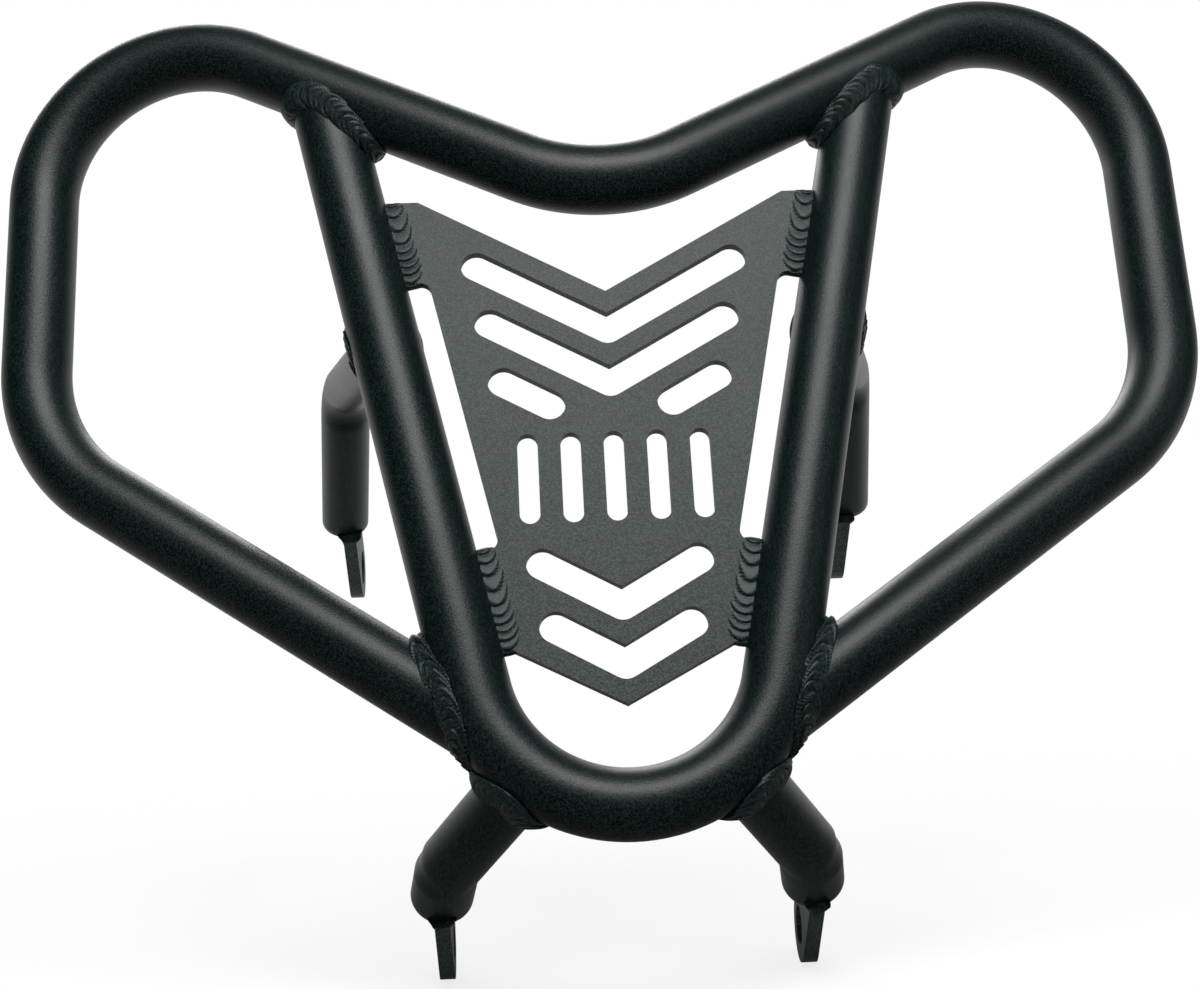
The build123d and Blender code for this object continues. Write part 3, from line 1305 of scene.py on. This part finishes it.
@dataclass
class WeldWork:
    """Every rippled weld bead of the bumper, in place of the CAD's smooth ones.

    Attributes:
        layout: The sizes that the seams follow.
        joint: The bead where the U's leg meets the hoop.
        end: The bead where the hoop's end meets the U.
        strut: The bead where a strut meets the U.
        plate: The bead along the plate's edge.
        plate_shift: How far that bead's middle lies in from the leg's side.
        plate_overrun: How far it runs past the part of the edge that the CAD welds.
        top_overrun: How far it runs past the plate's upper corner.
        plate_points: How many points its seam has.
    """

    layout: Layout = field(default_factory=Layout)
    joint: BeadSize = BeadSize(0.0060, depth=0.0011, wander=0.1)
    end: BeadSize = BeadSize(0.0050, pitch=0.0044, depth=0.0014, bow=3.0, wander=0.16, seed=5)
    strut: BeadSize = BeadSize(0.0072, depth=0.0009, wander=0.1, seed=11)
    plate: BeadSize = BeadSize(0.0078, crown=0.0038, pitch=0.0050, depth=0.0011, bow=3.2, seed=23)
    plate_shift: float = 0.0028
    plate_overrun: float = 0.002
    top_overrun: float = 0.0008
    plate_points: int = 12

    def joint_beads(self) -> dict[str, tuple[Seam, BeadSize]]:
        """Return each bead round a right tube's end, by the start of its CAD node's name.

        Returns:
            The bead's seam and size, by name.
        """
        size, radius = self.layout, self.layout.tube_radius
        u_axis, arm_axis = UAxis(size), StraightAxis(size.leg_top, unit(size.arm_slope))
        leg_way, hoop_way = -size.leg_axis.direction, unit(size.corner - size.hoop_end)
        joints = {
            "hoop_top_weld": (TubeJoint(size.leg_end, leg_way, radius, arm_axis, radius), self.joint),
            "hoop_end_weld": (TubeJoint(size.hoop_end, hoop_way, radius, u_axis, radius), self.end),
        }
        for name, (start, strut) in size.struts.items():
            way = unit(np.array(strut.corner) - start)
            joints[f"{name}_weld"] = (TubeJoint(start, way, strut.radius, u_axis, radius), self.strut)
        return {name: (joint.seam(bead.leg), bead) for name, (joint, bead) in joints.items()}

    def plate_seam(self, low: float, high: float) -> Seam:
        """Return the seam along the plate's right edge between two heights of the U's plane.

        Args:
            low: The lower height.
            high: The upper height.

        Returns:
            The seam.
        """
        ups = np.linspace(low, high, self.plate_points)
        places = [self.layout.u_point(self.layout.leg_inside(up) - self.plate_shift, up) for up in ups]
        forward = np.tile(self.layout.u_way(0, 0, 1), (len(ups), 1))
        measures = {RISE: np.zeros(len(ups)), BREADTH: np.full(len(ups), self.plate.leg)}
        return Seam(np.array(places), forward, False, measures)

    def plate_beads(self) -> dict[str, tuple[Seam, BeadSize]]:
        """Return each bead along the plate on the right, by the start of its CAD node's name.

        Returns:
            The bead's seam and size, by name.
        """
        size = self.layout
        top = size.u_local(size.leg_top)[1] - size.plate_top_drop
        foot = size.plate_foot_height
        upper_end = top - size.upper_plate_weld_length - self.plate_overrun
        lower_end = foot + size.lower_plate_weld_length + self.plate_overrun
        return {
            "upper_plate_weld": (self.plate_seam(upper_end, top + self.top_overrun), self.plate),
            "lower_plate_weld": (self.plate_seam(foot - self.plate_overrun, lower_end), self.plate),
        }

    def build(self, tree: RippleTree, material: bpy.types.Material) -> None:
        """Lay every bead on both sides.

        Args:
            tree: The Geometry Nodes tree that lays a bead.
            material: The beads' finish.
        """
        for name, (seam, size) in (self.joint_beads() | self.plate_beads()).items():
            settings = size.settings(seam) | {"Material": material}
            for side in Side:
                node = f"{name}_{side.label}"
                put_in_place(tree.lay(f"{node}_ripples", seam.on(side), settings), node)


# Stage, light and camera


@dataclass(frozen=True)
class Softbox:
    """A rectangular lamp.

    Attributes:
        name: Its name.
        place: Where it hangs.
        size: Its width and height.
        power: Its power, in watts.
    """

    name: str
    place: Triple
    size: tuple[float, float]
    power: float

    def hang(self, target: Triple) -> None:
        """Hang the lamp, turned to a target.

        Args:
            target: The point that it is turned to.
        """
        data = bpy.data.lights.new(self.name, "AREA")
        data.shape = "RECTANGLE"
        data.size, data.size_y = self.size
        data.energy = self.power
        lamp = linked(self.name, data)
        lamp.location = self.place
        aim = Vector(target) - Vector(self.place)
        lamp.rotation_euler = aim.to_track_quat("-Z", "Y").to_euler()


@dataclass(frozen=True)
class PhotoCamera:
    """The camera, where the photograph was taken from.

    Attributes:
        place: Where it stands.
        forward: The way it looks, which is level.
        roll: How far it is turned about that way, in degrees.
        focal_pixels: Its focal length, in pixels of the photograph.
        sensor_width: The width of its sensor, in millimetres.
    """

    place: Triple = (-0.0407, -0.9319, 0.2050)
    forward: Triple = (0.0384, 0.9993, 0.0)
    roll: float = 2.2
    focal_pixels: float = 2000.0
    sensor_width: float = 36.0

    def stand(self) -> None:
        """Set the camera up as the scene's own."""
        roll, forward = math.radians(self.roll), Vector(self.forward).normalized()
        level = forward.cross(Vector((0, 0, 1))).normalized()
        up = Vector((0, 0, 1)) * math.cos(roll) + level * math.sin(roll)
        data = bpy.data.cameras.new("camera")
        data.sensor_width = self.sensor_width
        data.lens = self.sensor_width * self.focal_pixels / PHOTO_WIDTH
        camera = linked("camera", data)
        turned = Matrix((forward.cross(up), up, -forward)).transposed().to_4x4()
        camera.matrix_world = Matrix.Translation(self.place) @ turned
        bpy.context.scene.camera = camera


@dataclass
class Studio:
    """The floor, lamps, backdrop and camera.

    Attributes:
        floor_z: How high the floor lies.
        floor_reach: How far the floor runs each way.
        floor_tone: How pale the floor is.
        floor_dim: How pale the floor looks in a reflection.
        floor_glow: How much of the backdrop's white the floor already has under the bumper.
        floor_fade: How far out the floor turns into the backdrop.
        mirror_fade: How far back the floor turns into the backdrop in a reflection.
        ambient: The strength of the light from all round.
        room: How bright the studio in front of the backdrop looks in a reflection.
        backdrop_edge: Where the backdrop fades into the room, as the rearward part of a direction.
        target: What the lamps are turned to.
        lamps: The lamps: a large one above the front, a weak one on the right, one above the back.
        camera: The camera.
    """

    floor_z: float
    floor_reach: float = 12.0
    floor_tone: float = 0.92
    floor_dim: float = 0.02
    floor_glow: float = 0.8
    floor_fade: tuple[float, float] = (0.2, 0.9)
    mirror_fade: tuple[float, float] = (-0.25, 0.75)
    ambient: float = 0.12
    room: float = 0.01
    backdrop_edge: tuple[float, float] = (0.3, 0.78)
    target: Triple = (0.0, 0.0, 0.2)
    lamps: tuple[Softbox, ...] = (
        Softbox("key", (0.1, -1.15, 1.75), (1.3, 0.9), 47.0),
        Softbox("fill", (1.9, -0.9, 0.9), (0.8, 1.2), 1.5),
        Softbox("rear", (-0.35, 1.5, 1.25), (1.3, 0.8), 16.0),
    )
    camera: PhotoCamera = PhotoCamera()

    def build(self) -> None:
        """Set up everything that isn't part of the bumper."""
        self._floor()
        self._world()
        for lamp in self.lamps:
            lamp.hang(self.target)
        self.camera.stand()
        bpy.context.scene.view_settings.view_transform = "Standard"

    def _rays(self, graph: Graph) -> tuple[Value, Value]:
        """Return 1 for a ray from the camera, and 1 for a ray that a gloss or a glass sends on.

        Args:
            graph: The graph that the nodes go into.

        Returns:
            The two values.
        """
        path = graph.node("ShaderNodeLightPath")
        mirrored = path.value("Is Glossy Ray").largest(path.value("Is Transmission Ray"))
        return path.value("Is Camera Ray"), mirrored

    def _floor(self) -> None:
        """Lay the plain pale floor, which turns into the white backdrop far away."""
        mesh = bpy.data.meshes.new("floor")
        reach = self.floor_reach
        corners = [(x * reach, y * reach, self.floor_z) for x, y in ((-1, -1), (1, -1), (1, 1), (-1, 1))]
        mesh.from_pydata(corners, [], [(0, 1, 2, 3)])
        floor = linked("floor", mesh)
        material, graph = new_material("pale_floor")
        where = graph.node("ShaderNodeTexCoord").arrow("Object")
        seen, mirrored = self._rays(graph)
        share = where.length().between(*self.floor_fade) * (1 - self.floor_glow) + self.floor_glow
        far = seen * share + mirrored * where.part(1).between(*self.mirror_fade)
        pale, dim = ((tone, tone, tone, 1) for tone in (self.floor_tone, self.floor_dim))
        matt = graph.node("ShaderNodeBsdfDiffuse", None, {"Color": graph.blend(mirrored, pale, dim)})
        glow = graph.node("ShaderNodeEmission", None, {"Color": WHITE, "Strength": 1.0})
        mixed = graph.node("ShaderNodeMixShader", None, {0: far, 1: matt.value(), 2: glow.value()})
        graph.node("ShaderNodeOutputMaterial", None, {"Surface": mixed.value()})
        mesh.materials.append(material)
        floor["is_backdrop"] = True

    def _world(self) -> None:
        """Make the white backdrop, the dim room that faces it, and the even light from all round."""
        world = bpy.data.worlds.new("studio")
        bpy.context.scene.world = world
        world.use_nodes = True
        world.node_tree.nodes.clear()
        graph = Graph(world.node_tree)
        behind = graph.node("ShaderNodeTexCoord").arrow("Generated").part(1).between(*self.backdrop_edge)
        seen, mirrored = self._rays(graph)
        reflected = mirrored * (behind * (1 - self.room) + self.room)
        lit = (1 - seen.largest(mirrored)) * self.ambient
        inputs = {"Color": WHITE, "Strength": seen + reflected + lit}
        shown = graph.node("ShaderNodeBackground", None, inputs)
        graph.node("ShaderNodeOutputWorld", None, {"Surface": shown.value()})


def main() -> None:
    """Load the frame, dress the bumper, and set the stage."""
    logging.basicConfig(level=logging.INFO, format="%(name)s: %(message)s")
    floor_gap = 0.0005
    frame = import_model()
    cad_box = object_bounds()
    tabs = [f"{level}_tab_{side.label}" for level in ("upper", "lower") for side in Side]
    FlatParts(["centre_plate", *tabs]).build(frame["nodes"])
    Tubework().build(TubeTree("round_tube"))
    TabWelds().build(CAP_COAT.build())
    WeldWork().build(RippleTree("weld_ripples"), WELD_COAT_WITH_PAINTED_SHADE.build())
    Studio(floor_z=cad_box[0].z - floor_gap).build()
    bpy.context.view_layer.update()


if __name__ == "__main__":
    main()
